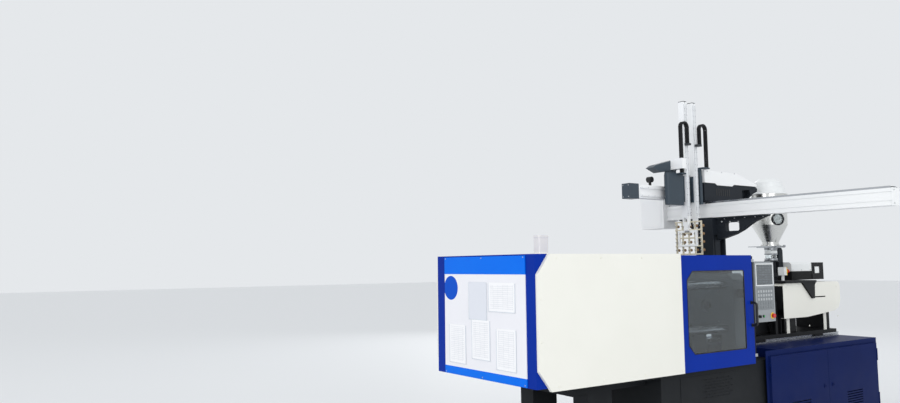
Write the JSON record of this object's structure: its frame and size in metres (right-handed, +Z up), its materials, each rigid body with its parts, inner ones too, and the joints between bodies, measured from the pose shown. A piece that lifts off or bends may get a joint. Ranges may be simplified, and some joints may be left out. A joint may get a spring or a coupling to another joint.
{
  "type": "injection moulding machine",
  "caption": "Horizontal plastic injection moulding machine with sliding guard doors, injection unit with hopper and loader, and a top-mounted gantry robot that takes the products out.",
  "frame": {"origin": "on the floor, under the middle of the machine's outline with the robot's beam", "axes": "+X along the machine from the clamp end to the injection end, +Y from the operator's side to the far side, +Z up"},
  "size_m": [4.7498, 2.535, 3.216],
  "materials": {
    "dark_paint": "fine-textured near-black powder coat",
    "navy_paint": "satin royal blue powder coat",
    "cabinet_blue": "satin dark blue powder coat",
    "cream_paint": "satin warm white powder coat",
    "machine_paint": "satin grey enamel on castings",
    "black_paint": "satin black powder coat",
    "slate_paint": "satin slate grey powder coat",
    "white_paint": "satin white powder coat",
    "arm_aluminium": "satin anodised profile",
    "steel": "ground and oiled steel",
    "clear_cylinder": "clear cylinder between bright rings",
    "stainless": "brushed stainless sheet",
    "heater_steel": "heat-tinted steel bands",
    "loader_plastic": "moulded white plastic",
    "panel_grey": "light grey textured coat",
    "rack_zinc": "zinc-plated plate with grey modules",
    "screen": "dark display face",
    "window": "clear pane in a black rubber edge",
    "handle_plastic": "black moulded grip",
    "chain_plastic": "black moulded links",
    "foot_rubber": "black rubber and steel",
    "board": "printed white sheet with blue bands",
    "paper_sleeve": "paper in clear sleeves",
    "stop_red": "red moulded mushroom head"
  },
  "bodies": {
    "machine_bed": {"base_frame": "dark_paint", "levelling_feet": "foot_rubber", "vent_panels": "dark_paint", "cabinet_shell": "cabinet_blue", "drive_rack": "rack_zinc", "slide_rails": "steel", "cylinder_platen": "machine_paint", "clamp_cylinder": "machine_paint", "tie_bars": "steel", "fixed_platen": "machine_paint", "guard_frame": "dark_paint", "end_cover": "navy_paint", "notice_board": "board", "document_sleeves": "paper_sleeve", "side_covers": "cream_paint", "top_cover": "navy_paint", "door_tracks": "steel", "signal_lamp": "white_paint", "operator_panel": "panel_grey", "panel_screen": "screen", "carriage_cylinders": "black_paint", "robot_post": "slate_paint", "traverse_beam": "white_paint", "robot_control_box": "white_paint"},
    "front_door": {"front_door_frame": "navy_paint", "front_door_window": "window", "front_door_handle": "handle_plastic"},
    "rear_door": {"rear_door_frame": "navy_paint", "rear_door_window": "window", "rear_door_handle": "handle_plastic"},
    "left_cabinet_door": {"cabinet_door_left": "cabinet_blue"},
    "right_cabinet_door": {"cabinet_door_right": "cabinet_blue"},
    "moving_clamp": {"moving_platen": "machine_paint", "clamp_ram": "machine_paint"},
    "ejector_unit": {"ejector": "steel"},
    "injection_carriage": {"carriage_base": "black_paint", "barrel": "steel", "heater_bands": "heater_steel", "barrel_guard": "black_paint", "injection_cover": "cream_paint", "screw_motor": "black_paint", "hopper_stand": "black_paint", "sight_glass": "clear_cylinder", "hopper": "stainless", "hopper_loader": "loader_plastic"},
    "nozzle_cover": {"purge_guard": "black_paint"},
    "slide_gate": {"hopper_gate": "steel"},
    "thrust_unit": {"thrust_plate": "machine_paint"},
    "plasticising_screw": {"screw": "steel"},
    "stop_button": {"emergency_stop": "stop_red"},
    "traverse_unit": {"traverse_carriage": "slate_paint", "carriage_lid": "white_paint", "kick_beam": "white_paint"},
    "main_kick_unit": {"main_slide_block": "slate_paint", "main_cable_chain": "chain_plastic"},
    "main_arm_unit": {"main_arm": "arm_aluminium"},
    "gripper_unit": {"gripper": "arm_aluminium"},
    "sub_kick_unit": {"sub_slide_block": "slate_paint", "sub_cable_chain": "chain_plastic"},
    "sub_arm_unit": {"sub_arm": "arm_aluminium"}
  },
  "joints": [
    {"name": "clamp_slide", "type": "slide", "parent": "machine_bed", "child": "moving_clamp", "axis": [1, 0, 0], "range_m": [0, 0.4]},
    {"name": "ejector_slide", "type": "slide", "parent": "moving_clamp", "child": "ejector_unit", "axis": [1, 0, 0], "range_m": [0, 0.09]},
    {"name": "front_door_slide", "type": "slide", "parent": "machine_bed", "child": "front_door", "axis": [-1, 0, 0], "range_m": [0, 0.94]},
    {"name": "rear_door_slide", "type": "slide", "parent": "machine_bed", "child": "rear_door", "axis": [-1, 0, 0], "range_m": [0, 0.94]},
    {"name": "left_cabinet_door_hinge", "type": "hinge", "parent": "machine_bed", "child": "left_cabinet_door", "pos_m": [0.42885, -0.1208, 0.45], "axis": [0, 0, -1], "range_deg": [0, 110]},
    {"name": "right_cabinet_door_hinge", "type": "hinge", "parent": "machine_bed", "child": "right_cabinet_door", "pos_m": [2.33485, -0.1208, 0.45], "axis": [0, 0, 1], "range_deg": [0, 110]},
    {"name": "carriage_slide", "type": "slide", "parent": "machine_bed", "child": "injection_carriage", "axis": [1, 0, 0], "range_m": [0, 0.22]},
    {"name": "nozzle_cover_slide", "type": "slide", "parent": "injection_carriage", "child": "nozzle_cover", "axis": [1, 0, 0], "range_m": [0, 0.24]},
    {"name": "hopper_gate_slide", "type": "slide", "parent": "injection_carriage", "child": "slide_gate", "axis": [0, -1, 0], "range_m": [0, 0.14]},
    {"name": "injection_slide", "type": "slide", "parent": "injection_carriage", "child": "thrust_unit", "axis": [1, 0, 0], "range_m": [0, 0.16]},
    {"name": "screw_spin", "type": "hinge", "parent": "thrust_unit", "child": "plasticising_screw", "pos_m": [1.87485, 0.4975, 1.23], "axis": [1, 0, 0], "continuous": true},
    {"name": "emergency_stop_push", "type": "slide", "parent": "machine_bed", "child": "stop_button", "axis": [0, 1, 0], "range_m": [0, 0.005]},
    {"name": "traverse_slide", "type": "slide", "parent": "machine_bed", "child": "traverse_unit", "axis": [0, -1, 0], "range_m": [-0.1, 1.5]},
    {"name": "main_kick_slide", "type": "slide", "parent": "traverse_unit", "child": "main_kick_unit", "axis": [-1, 0, 0], "range_m": [0, 0.34]},
    {"name": "main_lift", "type": "slide", "parent": "main_kick_unit", "child": "main_arm_unit", "axis": [0, 0, -1], "range_m": [0, 0.8], "deforming": ["main_cable_chain"]},
    {"name": "wrist_flip", "type": "hinge", "parent": "main_arm_unit", "child": "gripper_unit", "pos_m": [0.11285, 0.4975, 2.02], "axis": [0, 1, 0], "range_deg": [0, 90]},
    {"name": "sub_kick_slide", "type": "slide", "parent": "traverse_unit", "child": "sub_kick_unit", "axis": [-1, 0, 0], "range_m": [-0.015, 0.045]},
    {"name": "sub_lift", "type": "slide", "parent": "sub_kick_unit", "child": "sub_arm_unit", "axis": [0, 0, -1], "range_m": [0, 0.8], "deforming": ["sub_cable_chain"]}
  ]
}
